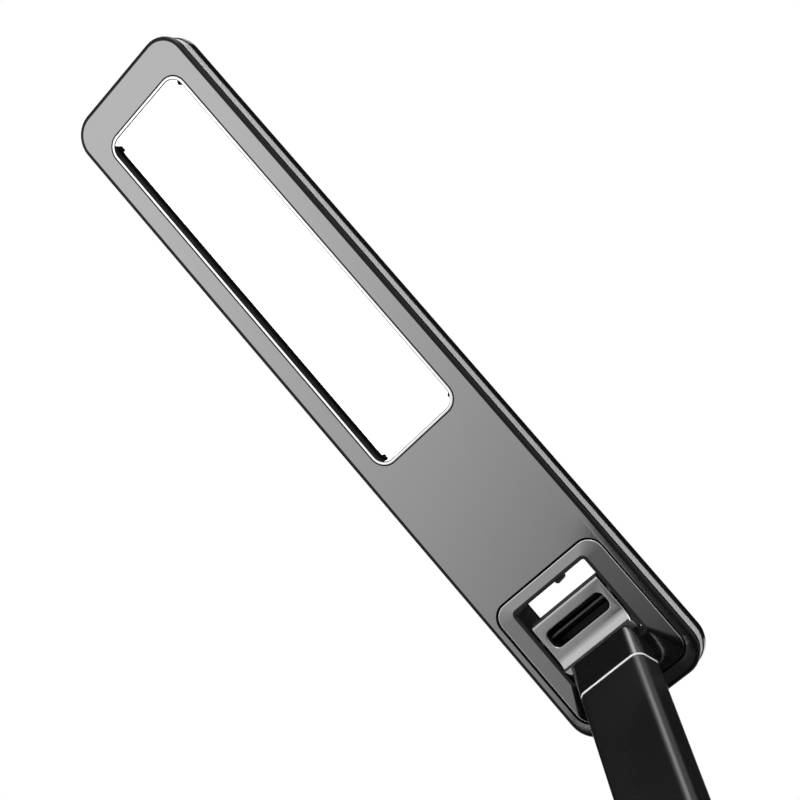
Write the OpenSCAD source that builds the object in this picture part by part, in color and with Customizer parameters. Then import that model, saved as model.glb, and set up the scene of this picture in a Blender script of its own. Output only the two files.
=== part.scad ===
// Folding desk lamp: a flat light head, a slotted knuckle at each end of one flat arm,
// and a weighted base with a turntable. The arm stands upright and the head is fully open.
// Millimetres. The origin is on the table, on the turntable's axis; the lamp faces towards -Y.

/* [Head] */
// Length of the light head
head_length = 346; // [330:1:380]
// Width of the light head
head_width = 67; // [64:1:80]
// Corner radius of the head, seen from below
head_corner = 12; // [8:1:16]
// Distance from the hinge shaft to the hinge end of the head
head_behind_shaft = 44.5; // [43:0.5:60]
// Depth of the hinge shaft's axis behind the light face
shaft_depth = 3.9; // [3.8:0.1:4.5]
// Edge height of the face shell
face_edge = 2.6; // [2.2:0.1:4]
// Height of the band between the two shells
band_height = 6.9; // [6:0.1:9]
// Edge height of the back shell
back_edge = 6.9; // [6:0.1:9]
// Thickness of the face shell's skin
face_skin = 1.6; // [1.2:0.1:1.9]
// Thickness of the back shell's skin
back_skin = 1.8; // [1.2:0.1:2.4]
// Side wall of the head's shells
shell_wall = 2; // [1.6:0.1:2.4]
// Edge radius round the light face
face_rim = 1.3; // [0.8:0.1:1.6]
// Edge radius round the back of the head
back_rim = 3.4; // [2:0.1:4]
// How far the band lies inside the shells' outline
band_inset = 0.5; // [0.3:0.1:0.8]

/* [Light window] */
// Length of the light window
window_length = 186.7; // [150:0.1:195]
// Width of the light window
window_width = 47; // [40:0.5:48]
// Corner radius of the light window
window_corner = 7; // [5:0.5:9]
// Distance from the tip of the head to the window
window_margin = 16.5; // [14:0.5:30]
// Wall of the bezel round the window
bezel_wall = 1.4; // [1:0.1:2]
// Depth of the diffuser behind the light face
diffuser_depth = 4.5; // [3.5:0.1:4.9]
// Thickness of the diffuser
diffuser_thickness = 2; // [1.5:0.1:2.5]
// Thickness of the light board
board_thickness = 1.2; // [0.8:0.1:1.6]
// Light chips along the board
chips_along = 16; // [8:1:20]

/* [Hinge surround] */
// Length of the raised surround of the hinge opening
surround_length = 60.7; // [60:0.1:64]
// Width of the surround
surround_width = 57.2; // [54:0.1:60]
// Corner radius of the surround
surround_corner = 7; // [4:0.5:9]
// Distance from the hinge end of the head to the surround
surround_margin = 7; // [6.5:0.1:9]
// Height of the surround's inner edge above the light face
surround_rise = 0.9; // [0.6:0.1:1]
// Reach of the opening from the shaft towards the tip
opening_ahead = 17.2; // [14:0.1:18]
// Reach of the opening from the shaft towards the hinge end
opening_behind = 19.8; // [19.5:0.1:21]
// Wall of the tunnel through the head
tunnel_wall = 1.5; // [1.2:0.1:2]

/* [Knuckles and hinges] */
// Width of a knuckle
knuckle_width = 36.9; // [35.5:0.1:38]
// Gap between a knuckle and the wall beside it
knuckle_side_gap = 1; // [0.9:0.05:1.2]
// Radius of the knuckle's barrel
barrel_radius = 9.5; // [8.6:0.1:9.8]
// Height of the knuckle's flat face above the shaft's axis
flat_rise = 4.6; // [4:0.1:4.7]
// Radius of the hollow blend between the flat face and the neck
blend_radius = 7.6; // [6:0.1:9]
// Width of the slot across the knuckle
slot_width = 8.3; // [7:0.1:9]
// Length of the slot across the knuckle
slot_length = 31.2; // [26:0.1:32]
// Depth of the slot below the knuckle's flat face
slot_depth = 9.2; // [8:0.1:9.6]
// Corner radius of the slot
slot_corner = 3; // [2:0.1:3.4]
// Radius of the hinge shafts
shaft_radius = 2; // [1.8:0.1:2.2]
// Radial running clearance of the hinge shafts
shaft_clearance = 0.05; // [0.02:0.01:0.09]
// Angle between head and arm when fully open
open_angle = 131.4; // [128:0.1:135]

/* [Arm] */
// Distance between the two hinge shafts
arm_length = 390; // [370:1:420]
// Width of the arm
arm_width = 33.7; // [32:0.1:35]
// Thickness of the arm
arm_thickness = 15.9; // [15:0.1:17]
// Edge radius of the arm
arm_edge = 4.5; // [3:0.1:5]
// Wall of the arm's tube
arm_wall = 1.8; // [1.4:0.1:2.2]
// Distance of the arm's front face behind the shafts
arm_setback = 5.3; // [5.1:0.1:6]
// Distance from a shaft to the seam between neck and tube
seam_reach = 29.4; // [28:0.1:34]
// Length of the knuckle's spigot inside the tube
spigot_length = 24; // [20:1:40]
// Radius of the lamp wires in the arm
wire_radius = 0.9; // [0.6:0.1:1]

/* [Base] */
// Width of the base
base_width = 160; // [150:1:200]
// Length of the base
base_length = 175; // [165:1:220]
// Corner radius of the base, seen from above
base_corner = 30; // [15:1:45]
// Distance from the turntable's axis to the back of the base
base_behind_axis = 48; // [46:1:60]
// Height of the base's deck above the table
deck_height = 18; // [17.5:0.1:19]
// Edge radius round the deck
deck_rim = 4; // [2:0.1:5]
// Wall of the base cover
base_wall = 2.2; // [1.8:0.1:2.6]
// Thickness of the non-slip pad
pad_thickness = 1.6; // [1:0.1:1.8]
// Thickness of the base plate
plate_thickness = 2.5; // [2:0.1:2.8]
// Thickness of the ballast plate
ballast_thickness = 5; // [4:0.1:5.2]
// Radius of the sliding keys' caps
key_radius = 7.5; // [6:0.1:9]
// Distance between neighbouring keys
key_pitch = 26; // [22:1:36]
// Distance from the front of the base to the keys
key_margin = 26; // [22:1:34]
// Travel of a key
key_travel = 0.8; // [0.5:0.05:0.9]
// Height of a key above the deck
key_rise = 1.2; // [1:0.05:1.4]

/* [Turntable] */
// Radius of the turntable
turntable_radius = 32.5; // [32.2:0.1:36]
// Height of the turntable above the deck
turntable_rise = 1.6; // [1.2:0.1:2]
// Radius of the turntable's hub
hub_radius = 14; // [12:0.1:15]
// Height of the lower hinge shaft above the table
hinge_height = 35; // [34.5:0.1:40]
// Thickness of the yoke's cheeks
cheek_thickness = 8; // [7:0.1:8.2]
// Depth of the yoke from front to back
yoke_depth = 32; // [28:1:33]

/* [Hidden] */
$fn = 64;

// Clearances between pieces that only sit together
fit = 0.15;
seat = 0.4;

// Heights inside the head, above the hinge shaft's axis while the head lies flat, light down
face_z = -shaft_depth;
band_z = face_z + face_edge;
back_z = band_z + band_height;
top_z = back_z + back_edge;
rim_z = face_z + 0.3;
rim_plate_z = rim_z + 2;
roof_z = top_z - back_skin;
diffuser_z = face_z + diffuser_depth;
frame_z = diffuser_z + diffuser_thickness;
board_gap = 1.9;
board_z = roof_z - board_gap - board_thickness;
chip_height = 0.6;
chip_size = 3;
chip_row_x = window_width / 6;
chip_end_margin = 11;

// Places along the head, from the hinge shaft; the tip is on the negative side
tip_y = head_behind_shaft - head_length;
head_mid_y = head_behind_shaft - head_length / 2;
window_mid_y = tip_y + window_margin + window_length / 2;
surround_mid_y = head_behind_shaft - surround_margin - surround_length / 2;
surround_end_y = head_behind_shaft - surround_margin;
opening_width = knuckle_width + 2 * knuckle_side_gap;
opening_mid_y = (opening_behind - opening_ahead) / 2;
opening_length = opening_behind + opening_ahead;

// Small half-round nub on the far wall of the hinge opening
nub_x = 4.7;
nub_radius = 1.6;
nub_length = 7;

// Screws and bosses
boss_radius = 2.6;
screw_radius = 1.2;
screw_head = 2.3;
screw_head_height = 1;
pilot_radius = screw_radius + 0.05;
head_boss_x = head_width / 2 - shell_wall - boss_radius - 0.1;
head_boss_y = [tip_y + head_corner + 1, window_mid_y, window_mid_y + window_length / 2 + 28];
board_screw_x = window_width / 2 - 7;
board_screw_y = [window_mid_y - window_length * 0.36, window_mid_y + window_length * 0.36];

// Hinge stack, outwards from the knuckle along the shaft
bracket_thickness = 2.5;
bracket_length = 30;
bracket_foot = 8;
bracket_foot_thickness = 1.6;
bracket_screw_y = 10;
bracket_x = opening_width / 2 + tunnel_wall + 0.1;
bracket_outer_x = bracket_x + bracket_thickness;
washer_thickness = 0.8;
washer_radius = 4.2;
nut_thickness = 2.4;
nut_radius = 3.4;
nut_flat = nut_radius * cos(30);
rivet_head_radius = 3;
rivet_head_height = 1.8;
thread_end = 0.2;
bore_radius = shaft_radius + shaft_clearance;
eye_radius = shaft_radius + 0.95;
// Pocket in the surround for the eye, the nut and the shaft's head
eye_pocket_z = -max(eye_radius, nut_flat, rivet_head_radius) - 0.25;
eye_pocket_half = nut_radius + 0.4;
eye_pocket_end = bracket_outer_x + washer_thickness + nut_thickness + thread_end + 0.4;

// Knuckle in its side view: first number forward, second along the arm away from the shaft
slant = 180 - open_angle;
corner_along = (arm_setback + flat_rise * cos(slant)) / sin(slant);
blend_tangent = blend_radius / tan(open_angle / 2);
flat_edge_along = -sqrt(barrel_radius * barrel_radius - flat_rise * flat_rise);
neck_start = knuckle_point(corner_along, flat_rise)[1] + blend_tangent;
tail_gap = 1.2;
tail_reach = (opening_behind - tail_gap - neck_start * cos(slant)) / sin(slant);
slot_along = 0.65;
tongue_width = 26;
tongue_front = arm_setback + arm_wall + fit;
tongue_back = -knuckle_point(opening_behind - tail_gap, shaft_depth + surround_rise)[0] - 0.2;
spigot_start = seam_reach - 3;
arm_mid = arm_setback + arm_thickness / 2;
wire_depth = arm_setback + arm_wall + fit + wire_radius + 0.1;
wire_spread = 1.3;

// Lamp positions
head_height = hinge_height + arm_length;
head_tilt = open_angle - 90;

// Heights inside the base
cover_foot_z = pad_thickness + 0.6;
plate_top_z = pad_thickness + plate_thickness;
ballast_top_z = plate_top_z + ballast_thickness;
deck_inner_z = deck_height - base_wall;
pocket_z = deck_height - 2.4;
pocket_floor = 2.6;
turntable_top_z = deck_height + turntable_rise;
hub_foot_z = plate_top_z + 1;
collar_foot_z = hub_foot_z + 4.4;
base_mid_y = base_behind_axis - base_length / 2;
key_y = base_behind_axis - base_length + key_margin;
key_flange = 1.5;
switch_height = 2;
control_board_z = ballast_top_z + 0.4;
control_board_thickness = 1.2;
control_board_side = 12;
control_board_depth = 22;
control_post_side = 8;
control_post_radius = 2;
ballast_gap = 3;
base_screw_inset = 17;
base_boss_radius = 4;
inlet_z = plate_top_z + 0.3;
inlet_width = 11;
inlet_depth = 13;
inlet_height = 8.5;
inlet_radius = 2.9;

// Yoke on the turntable
cheek_x = opening_width / 2;
cheek_outer_x = cheek_x + cheek_thickness;
yoke_floor_z = turntable_top_z + 3.2;
cheek_radius = 11.5;
cap_radius = 6;
cap_thickness = 1.2;
// Pocket in each cheek for the shaft's head, the nut and the cap
cheek_pocket = nut_thickness + washer_thickness + 0.8 + cap_thickness;
base_hinge_half = cheek_outer_x - cheek_pocket;
wire_hole_radius = 5;
yoke_screw_reach = 5;
yoke_screw_x = cheek_x + cheek_thickness / 2;
yoke_screw_y = yoke_depth / 2 - 5;

// Point of the knuckle's side view, given along and above the head's light face
function knuckle_point(along, rise) = [
    -along * sin(slant) + rise * cos(slant),
    along * cos(slant) + rise * sin(slant)
];

// Points on an arc, both ends included
function arc(centre, radius, from, to, steps) = [
    for (i = [0:steps])
        let (a = from + (to - from) * i / steps)
        [centre[0] + radius * cos(a), centre[1] + radius * sin(a)]
];

// Edge profiles are [inset, height] points from bottom to top
function straight_edge(low, high) = [[0, low], [0, high]];
function round_low_edge(low, high, radius) = concat(
    [for (p = arc([radius, low + radius], radius, 270, 180, 6)) p],
    [[0, high]]
);
function round_high_edge(low, high, radius) = concat(
    [[0, low]],
    [for (p = arc([radius, high - radius], radius, 180, 90, 8)) p]
);

// Slab with a rounded rectangular plan whose edge follows a profile all the way round
module edged_slab(width, length, corner, profile) {
    count = len(profile);
    low = profile[0][1];
    high = profile[count - 1][1];
    rotate([90, 0, 0])
        linear_extrude(height = length - 2 * corner, center = true)
            profile_section(width / 2, profile);
    rotate([90, 0, 90])
        linear_extrude(height = width - 2 * corner, center = true)
            profile_section(length / 2, profile);
    for (sx = [-1, 1], sy = [-1, 1])
        translate([sx * (width / 2 - corner), sy * (length / 2 - corner), 0])
            rotate_extrude()
                polygon(concat([[0, low]], [for (p = profile) [corner - p[0], p[1]]], [[0, high]]));
}

// Full cross-section of such a slab
module profile_section(half, profile) {
    count = len(profile);
    polygon(concat(
        [for (p = profile) [half - p[0], p[1]]],
        [for (i = [count - 1:-1:0]) [profile[i][0] - half, profile[i][1]]]
    ));
}

// Plain plate with a rounded rectangular plan
module plate(width, length, corner, low, high) {
    edged_slab(width, length, corner, straight_edge(low, high));
}

module along_x(from, to, radius) {
    translate([from, 0, 0])
        rotate([0, 90, 0])
            cylinder(r = radius, h = to - from);
}

module at_head() {
    translate([0, 0, head_height])
        rotate([-head_tilt, 0, 0])
            children();
}

module at_base_end() {
    translate([0, 0, hinge_height])
        children();
}

module at_head_end() {
    translate([0, 0, head_height])
        mirror([0, 0, 1])
            children();
}

// Side-view outline pushed out across the lamp: outline x is forward, outline y is up
module across(width) {
    rotate([90, 0, -90])
        linear_extrude(height = width, center = true)
            children();
}

// Head shells

module face_shell() {
    color("dimgray") at_head() difference() {
        union() {
            difference() {
                translate([0, head_mid_y, 0])
                    edged_slab(head_width, head_length, head_corner,
                        round_low_edge(face_z, band_z, face_rim));
                translate([0, head_mid_y, 0])
                    plate(head_width - 2 * shell_wall, head_length - 2 * shell_wall,
                        head_corner - shell_wall, face_z + face_skin, band_z + 1);
            }
            head_boss_places()
                translate([0, 0, face_z + face_skin - 0.2])
                    cylinder(r = boss_radius, h = roof_z - seat - face_z - face_skin + 0.2);
        }
        head_boss_places()
            translate([0, 0, face_z + face_skin])
                cylinder(r = pilot_radius, h = head_width);
        translate([0, window_mid_y, 0])
            plate(window_width + 2 * fit, window_length + 2 * fit, window_corner + fit,
                face_z - 1, band_z + 1);
        translate([0, surround_mid_y, 0])
            plate(surround_width + 2 * seat, surround_length + 2 * seat, surround_corner + seat,
                face_z - 1, band_z + 1);
    }
}

module head_boss_places() {
    for (sx = [-1, 1], y = head_boss_y)
        translate([sx * head_boss_x, y, 0])
            children();
}

module side_band() {
    color("darkgray") at_head() translate([0, head_mid_y, 0]) difference() {
        plate(head_width - 2 * band_inset, head_length - 2 * band_inset, head_corner - band_inset,
            band_z, back_z);
        plate(head_width - 2 * shell_wall, head_length - 2 * shell_wall, head_corner - shell_wall,
            band_z - 1, back_z + 1);
    }
}

module back_shell() {
    color("#2a2a2c") at_head() difference() {
        union() {
            difference() {
                translate([0, head_mid_y, 0])
                    edged_slab(head_width, head_length, head_corner,
                        round_high_edge(back_z, top_z, back_rim));
                translate([0, head_mid_y, 0])
                    edged_slab(head_width - 2 * shell_wall, head_length - 2 * shell_wall,
                        head_corner - shell_wall,
                        round_high_edge(back_z - 1, roof_z, back_rim - shell_wall));
            }
            board_post_places()
                translate([0, 0, board_z + board_thickness])
                    cylinder(r = boss_radius, h = board_gap + 0.2);
        }
        translate([0, opening_mid_y, 0])
            plate(opening_width, opening_length, 1, back_z, top_z + 1);
        head_boss_places() {
            cylinder(r = screw_radius + fit, h = top_z + 1);
            translate([0, 0, top_z - screw_head_height - 0.3])
                cylinder(r = screw_head + fit, h = 2);
        }
        board_post_places()
            translate([0, 0, board_z])
                cylinder(r = pilot_radius, h = board_gap + board_thickness + 0.6);
        bracket_screw_places()
            translate([0, 0, roof_z - 1])
                cylinder(r = pilot_radius, h = 1.9);
    }
}

module board_post_places() {
    for (sx = [-1, 1], y = board_screw_y)
        translate([sx * board_screw_x, y, 0])
            children();
}

module bracket_screw_places() {
    for (sx = [-1, 1], sy = [-1, 1])
        translate([sx * (bracket_outer_x + 3), sy * bracket_screw_y, 0])
            children();
}

// Light window

module window_bezel() {
    color("gainsboro") at_head() translate([0, window_mid_y, 0]) difference() {
        union() {
            plate(window_width, window_length, window_corner, face_z - 0.2, diffuser_z);
            plate(window_width + 4, window_length + 4, window_corner + 2,
                face_z + face_skin, face_z + face_skin + 1.2);
        }
        plate(window_width - 2 * bezel_wall, window_length - 2 * bezel_wall,
            window_corner - bezel_wall, face_z - 1, diffuser_z + 1);
    }
}

module diffuser() {
    color("white") at_head() translate([0, window_mid_y, 0])
        plate(window_width + 1, window_length + 1, window_corner + 0.5, diffuser_z, frame_z);
}

module reflector_frame() {
    color("whitesmoke") at_head() translate([0, window_mid_y, 0]) difference() {
        plate(window_width + 1, window_length + 1, window_corner + 0.5, frame_z, board_z);
        plate(window_width - 2, window_length - 2, window_corner - 1, frame_z - 1, board_z + 1);
    }
}

module light_board() {
    color("ivory") at_head() difference() {
        translate([0, window_mid_y, 0])
            plate(window_width, window_length, window_corner, board_z, board_z + board_thickness);
        board_post_places()
            translate([0, 0, board_z - 1])
                cylinder(r = screw_radius + fit, h = board_thickness + 2);
    }
}

module light_chips() {
    step = (window_length - 2 * chip_end_margin) / (chips_along - 1);
    color("khaki") at_head()
        for (sx = [-1, 1], i = [0:chips_along - 1])
            translate([sx * chip_row_x, window_mid_y + (i - (chips_along - 1) / 2) * step,
                board_z - chip_height / 2])
                cube([chip_size, chip_size, chip_height], center = true);
}

// Hinge in the head

module hinge_surround() {
    skirt_top = roof_z - 0.1;
    color("gray") at_head() difference() {
        union() {
            hull() {
                translate([0, surround_mid_y, 0])
                    plan_slab(surround_width, surround_length, surround_corner, rim_z, rim_z + 0.1, 32);
                translate([0, opening_mid_y, 0])
                    plan_slab(opening_width + 2, opening_length + 2, 2, face_z - surround_rise,
                        rim_z + 0.1, 32);
            }
            translate([0, surround_mid_y, 0])
                plate(surround_width, surround_length, surround_corner, rim_z + 0.1, rim_plate_z);
            translate([0, opening_mid_y, 0])
                plate(opening_width + 2 * tunnel_wall, opening_length + 2 * tunnel_wall, 2,
                    rim_z + 0.1, skirt_top);
        }
        translate([0, opening_mid_y, 0])
            plate(opening_width, opening_length, 1, face_z - 5, top_z + 1);
        along_x(-opening_width, opening_width, shaft_radius + 0.6);
        for (sx = [-1, 1])
            translate([sx * (bracket_x + eye_pocket_end - 0.1) / 2, 0, eye_pocket_z + 5])
                cube([eye_pocket_end - bracket_x + 0.1, 2 * eye_pocket_half, 10], center = true);
    }
    color("gray") at_head()
        translate([nub_x, -opening_ahead, face_z - surround_rise + 0.6])
            intersection() {
                cylinder(r = nub_radius, h = nub_length);
                translate([-nub_radius, -0.2, 0])
                    cube([2 * nub_radius, nub_radius + 0.2, nub_length]);
            }
}

// Rounded rectangular prism in one piece, for blends
module plan_slab(width, length, corner, low, high, facets) {
    translate([0, 0, low])
        linear_extrude(height = high - low)
            hull()
                for (sx = [-1, 1], sy = [-1, 1])
                    translate([sx * (width / 2 - corner), sy * (length / 2 - corner)])
                        circle(r = corner, $fn = facets);
}

module hinge_brackets() {
    low = rim_plate_z + 0.3;
    mid_x = bracket_x + bracket_thickness / 2;
    color("silver") at_head() difference() {
        for (sx = [-1, 1])
            union() {
                translate([sx * mid_x, 0, (low + roof_z) / 2])
                    cube([bracket_thickness, bracket_length, roof_z - low], center = true);
                translate([sx * mid_x, 0, 0])
                    rotate([0, 90, 0])
                        cylinder(r = eye_radius, h = bracket_thickness, center = true);
                translate([sx * (bracket_x + bracket_foot / 2), 0, roof_z - bracket_foot_thickness / 2])
                    cube([bracket_foot, bracket_length, bracket_foot_thickness], center = true);
            }
        along_x(-head_width, head_width, bore_radius);
        bracket_screw_places()
            translate([0, 0, roof_z - 3])
                cylinder(r = screw_radius + fit, h = 4);
    }
}

module hinge_shaft(half) {
    along_x(-half - rivet_head_height, half + nut_thickness + washer_thickness + 0.1 + thread_end,
        shaft_radius);
    along_x(-half - rivet_head_height, -half - 0.05, rivet_head_radius);
}

module hinge_nut(half) {
    difference() {
        translate([half + washer_thickness + 0.1, 0, 0])
            rotate([0, 90, 0])
                rotate([0, 0, 30])
                    cylinder(r = nut_radius, h = nut_thickness, $fn = 6);
        along_x(half, half + 2 * nut_thickness, bore_radius);
    }
}

// Friction washers beside the knuckle and one spring washer under the nut
module hinge_washers(half, radius) {
    inner_x = knuckle_width / 2 + (knuckle_side_gap - washer_thickness) / 2;
    difference() {
        union() {
            for (sx = [-1, 1])
                translate([sx * (inner_x + washer_thickness / 2), 0, 0])
                    rotate([0, 90, 0])
                        cylinder(r = radius, h = washer_thickness, center = true);
            along_x(half + 0.05, half + 0.05 + washer_thickness, nut_flat);
        }
        along_x(-head_width, head_width, bore_radius);
    }
}

module head_hinge_shaft() {
    color("silver") at_head() hinge_shaft(bracket_outer_x);
}

module head_hinge_washers() {
    color("darkgoldenrod") at_head() hinge_washers(bracket_outer_x, washer_radius);
}

module head_hinge_nut() {
    color("silver") at_head() hinge_nut(bracket_outer_x);
}

module screw(length) {
    cylinder(r = screw_radius, h = length);
    translate([0, 0, length])
        cylinder(r = screw_head, h = screw_head_height);
}

module head_screws() {
    length = roof_z + back_skin - screw_head_height - 0.3 - band_z;
    color("dimgray") at_head() head_boss_places()
        translate([0, 0, band_z])
            screw(length);
}

module head_inner_screws() {
    color("silver") at_head() {
        board_post_places()
            translate([0, 0, board_z])
                mirror([0, 0, 1])
                    translate([0, 0, -board_gap - board_thickness])
                        screw(board_gap + board_thickness);
        bracket_screw_places()
            translate([0, 0, roof_z + 0.8])
                mirror([0, 0, 1])
                    screw(2.4);
    }
}

// Arm

// Side-view outline of a knuckle: barrel, flat face, hollow blend and back web
module knuckle_outline() {
    flat_edge = knuckle_point(flat_edge_along, flat_rise);
    tail = [-tail_reach, neck_start];
    tail_angle = atan2(tail[1], tail[0]) + acos(barrel_radius / norm(tail));
    blend_centre = knuckle_point(corner_along - blend_tangent, flat_rise + blend_radius);
    polygon(concat(
        arc([0, 0], barrel_radius, tail_angle, 360 + atan2(flat_edge[1], flat_edge[0]), 24),
        arc(blend_centre, blend_radius, 180 + slant, 180, 8),
        [tail]
    ));
}

// Rounded section of the arm, set back behind the shafts, between two distances along it
module arm_section(inset, from, to) {
    translate([0, arm_mid, 0])
        plate(arm_width - 2 * inset, arm_thickness - 2 * inset, arm_edge - inset, from, to);
}

module knuckle() {
    spigot_inset = arm_wall + fit;
    slot_centre = knuckle_point(slot_along, flat_rise);
    difference() {
        union() {
            across(knuckle_width)
                knuckle_outline();
            tongue(0);
            arm_section(spigot_inset, spigot_start, seam_reach + spigot_length);
        }
        along_x(-knuckle_width, knuckle_width, bore_radius);
        translate([0, -slot_centre[0], slot_centre[1]])
            rotate([90 - slant, 0, 0])
                plate(slot_length, slot_width, slot_corner, -slot_depth, 2);
        wire_way();
        arm_screw_places()
            translate([0, -3, 0])
                rotate([90, 0, 0])
                    cylinder(r = pilot_radius, h = 8, center = true);
    }
}

// Flat tongue that carries the spigot through the neck cover
module tongue(gap) {
    translate([-tongue_width / 2 - gap, tongue_front - gap, neck_start - 2])
        cube([tongue_width + 2 * gap, tongue_back - tongue_front + 2 * gap,
            spigot_start - neck_start + 3]);
}

// Groove for the wires along the front of tongue and spigot
module wire_way() {
    groove = 2 * wire_spread + 2 * wire_radius + 1;
    translate([-groove / 2, arm_setback, neck_start])
        cube([groove, wire_depth - arm_setback + wire_radius + 0.3, seam_reach + spigot_length]);
}

module arm_screw_places() {
    for (z = [seam_reach + 8, seam_reach + spigot_length - 5])
        translate([0, arm_setback + arm_thickness, z])
            children();
}

// Cover round the neck; its foot follows the slope of the head's surround
module neck_cover() {
    difference() {
        arm_section(0, neck_start + 0.2, seam_reach - fit);
        difference() {
            arm_section(arm_wall, neck_start - 1, seam_reach + 1);
            slope_block(seat + arm_wall);
        }
        slope_block(seat);
        tongue(fit);
    }
}

// Everything below the surround's slope at the hinge end, seen from the arm
module slope_block(gap) {
    slope_start = opening_behind - seat;
    rise_high = shaft_depth + surround_rise;
    rise_low = shaft_depth - 0.3;
    slope = (rise_high - rise_low) / (surround_end_y - opening_behind);
    far_along = surround_end_y + 20;
    across(2 * arm_width)
        polygon([
            knuckle_point(slope_start - gap + seat, rise_high + gap),
            knuckle_point(far_along, rise_high + gap - slope * (far_along - opening_behind)),
            knuckle_point(far_along, -20),
            knuckle_point(slope_start - gap + seat, -20)
        ]);
}

module head_knuckle() {
    color("gray") at_head_end() knuckle();
}

module base_knuckle() {
    color("gray") at_base_end() knuckle();
}

module head_neck_cover() {
    color("#1c1c1e") at_head_end() neck_cover();
}

module base_neck_cover() {
    color("#1c1c1e") at_base_end() neck_cover();
}

module arm_tube() {
    color("#1c1c1e") at_base_end() difference() {
        arm_section(0, seam_reach, arm_length - seam_reach);
        arm_section(arm_wall, seam_reach - 1, arm_length - seam_reach + 1);
        both_arm_ends() arm_screw_places()
            rotate([90, 0, 0]) {
                cylinder(r = screw_radius + fit, h = 8, center = true);
                cylinder(r = screw_head + fit, h = 2 * screw_head_height, center = true);
            }
    }
}

module both_arm_ends() {
    children();
    translate([0, 0, arm_length])
        mirror([0, 0, 1])
            children();
}

module arm_screws() {
    color("silver") at_base_end() both_arm_ends() arm_screw_places()
        rotate([-90, 0, 0])
            translate([0, 0, -5.5 - screw_head_height])
                screw(5.5);
}

module arm_wires() {
    color("firebrick") at_base_end()
        for (sx = [-1, 1])
            translate([sx * wire_spread, wire_depth, neck_start + 0.4])
                cylinder(r = wire_radius, h = arm_length - 2 * neck_start - 0.8, $fn = 24);
}

// Turntable

module turntable() {
    disc = concat(
        [[hub_radius - 4, pocket_z + 0.1], [turntable_radius - seat, pocket_z + 0.1]],
        arc([turntable_radius - seat - 1.2, turntable_top_z - 1.2], 1.2, 0, 90, 6),
        [[hub_radius - 4, turntable_top_z]]
    );
    color("gray") difference() {
        union() {
            rotate_extrude()
                polygon(disc);
            translate([0, 0, hub_foot_z])
                difference() {
                    cylinder(r = hub_radius, h = pocket_z + 1 - hub_foot_z);
                    translate([0, 0, -1])
                        cylinder(r = hub_radius - 4, h = pocket_z + 3 - hub_foot_z);
                }
        }
        yoke_screw_places()
            translate([0, 0, pocket_z - 1]) {
                cylinder(r = screw_radius + fit, h = 8);
                cylinder(r = screw_head + fit, h = 1.1 + screw_head_height + 0.3);
            }
    }
}

module yoke_screw_places() {
    for (sx = [-1, 1], sy = [-1, 1])
        translate([sx * yoke_screw_x, sy * yoke_screw_y, 0])
            children();
}

// One cheek of the yoke in side view: a round head over a splayed foot
module cheek_outline() {
    foot = [yoke_depth / 2, turntable_top_z - hinge_height];
    reach = norm(foot);
    lift = acos(cheek_radius / reach) - atan2(-foot[1], foot[0]);
    polygon(concat(
        [[-foot[0], foot[1]], foot],
        arc([0, 0], cheek_radius, lift, 180 - lift, 24)
    ));
}

module yoke() {
    color("gray") difference() {
        union() {
            for (sx = [-1, 1])
                translate([sx * (cheek_x + cheek_thickness / 2), 0, hinge_height])
                    across(cheek_thickness)
                        cheek_outline();
            plate(2 * cheek_x + 2, yoke_depth, 1, turntable_top_z, yoke_floor_z);
        }
        translate([0, 0, hinge_height]) {
            along_x(-head_width, head_width, bore_radius);
            for (sx = [-1, 1])
                translate([sx * (cheek_outer_x - cheek_pocket / 2 + 0.5), 0, 0])
                    rotate([0, 90, 0])
                        cylinder(r = cap_radius, h = cheek_pocket + 1, center = true);
        }
        translate([0, 0, turntable_top_z - 1])
            cylinder(r = wire_hole_radius, h = yoke_floor_z - turntable_top_z + 2);
        yoke_screw_places()
            translate([0, 0, turntable_top_z - 1])
                cylinder(r = pilot_radius, h = yoke_screw_reach + 2);
    }
}

module yoke_screws() {
    color("dimgray") yoke_screw_places()
        translate([0, 0, turntable_top_z + yoke_screw_reach])
            mirror([0, 0, 1])
                screw(turntable_top_z + yoke_screw_reach - pocket_z - 0.1 - screw_head_height);
}

module yoke_caps() {
    color("#2a2a2c") at_base_end()
        for (sx = [-1, 1])
            translate([sx * (cheek_outer_x - cap_thickness / 2 - 0.1), 0, 0])
                rotate([0, 90, 0])
                    cylinder(r = cap_radius - 0.05, h = cap_thickness, center = true);
}

module base_hinge_shaft() {
    color("silver") at_base_end() hinge_shaft(base_hinge_half);
}

module base_hinge_washers() {
    color("darkgoldenrod") at_base_end() hinge_washers(base_hinge_half, washer_radius);
}

module base_hinge_nut() {
    color("silver") at_base_end() hinge_nut(base_hinge_half);
}

module swivel_washer() {
    color("darkgoldenrod") translate([0, 0, collar_foot_z - 0.9]) difference() {
        cylinder(r = hub_radius + 3.6, h = 0.8);
        translate([0, 0, -1])
            cylinder(r = hub_radius + fit, h = 3);
    }
}

module swivel_nut() {
    color("silver") translate([0, 0, hub_foot_z]) difference() {
        cylinder(r = hub_radius + 4.4, h = collar_foot_z - 1 - hub_foot_z);
        translate([0, 0, -1])
            cylinder(r = hub_radius + 0.05, h = 8);
    }
}

// Base

module base_plan(inset, profile) {
    translate([0, base_mid_y, 0])
        edged_slab(base_width - 2 * inset, base_length - 2 * inset, base_corner - inset, profile);
}

module base_screw_places() {
    for (sx = [-1, 1], sy = [-1, 1])
        translate([sx * (base_width / 2 - base_screw_inset),
            base_mid_y + sy * (base_length / 2 - base_screw_inset), 0])
            children();
}

module key_places() {
    for (i = [-1:1])
        translate([i * key_pitch, key_y, 0])
            children();
}

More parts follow.
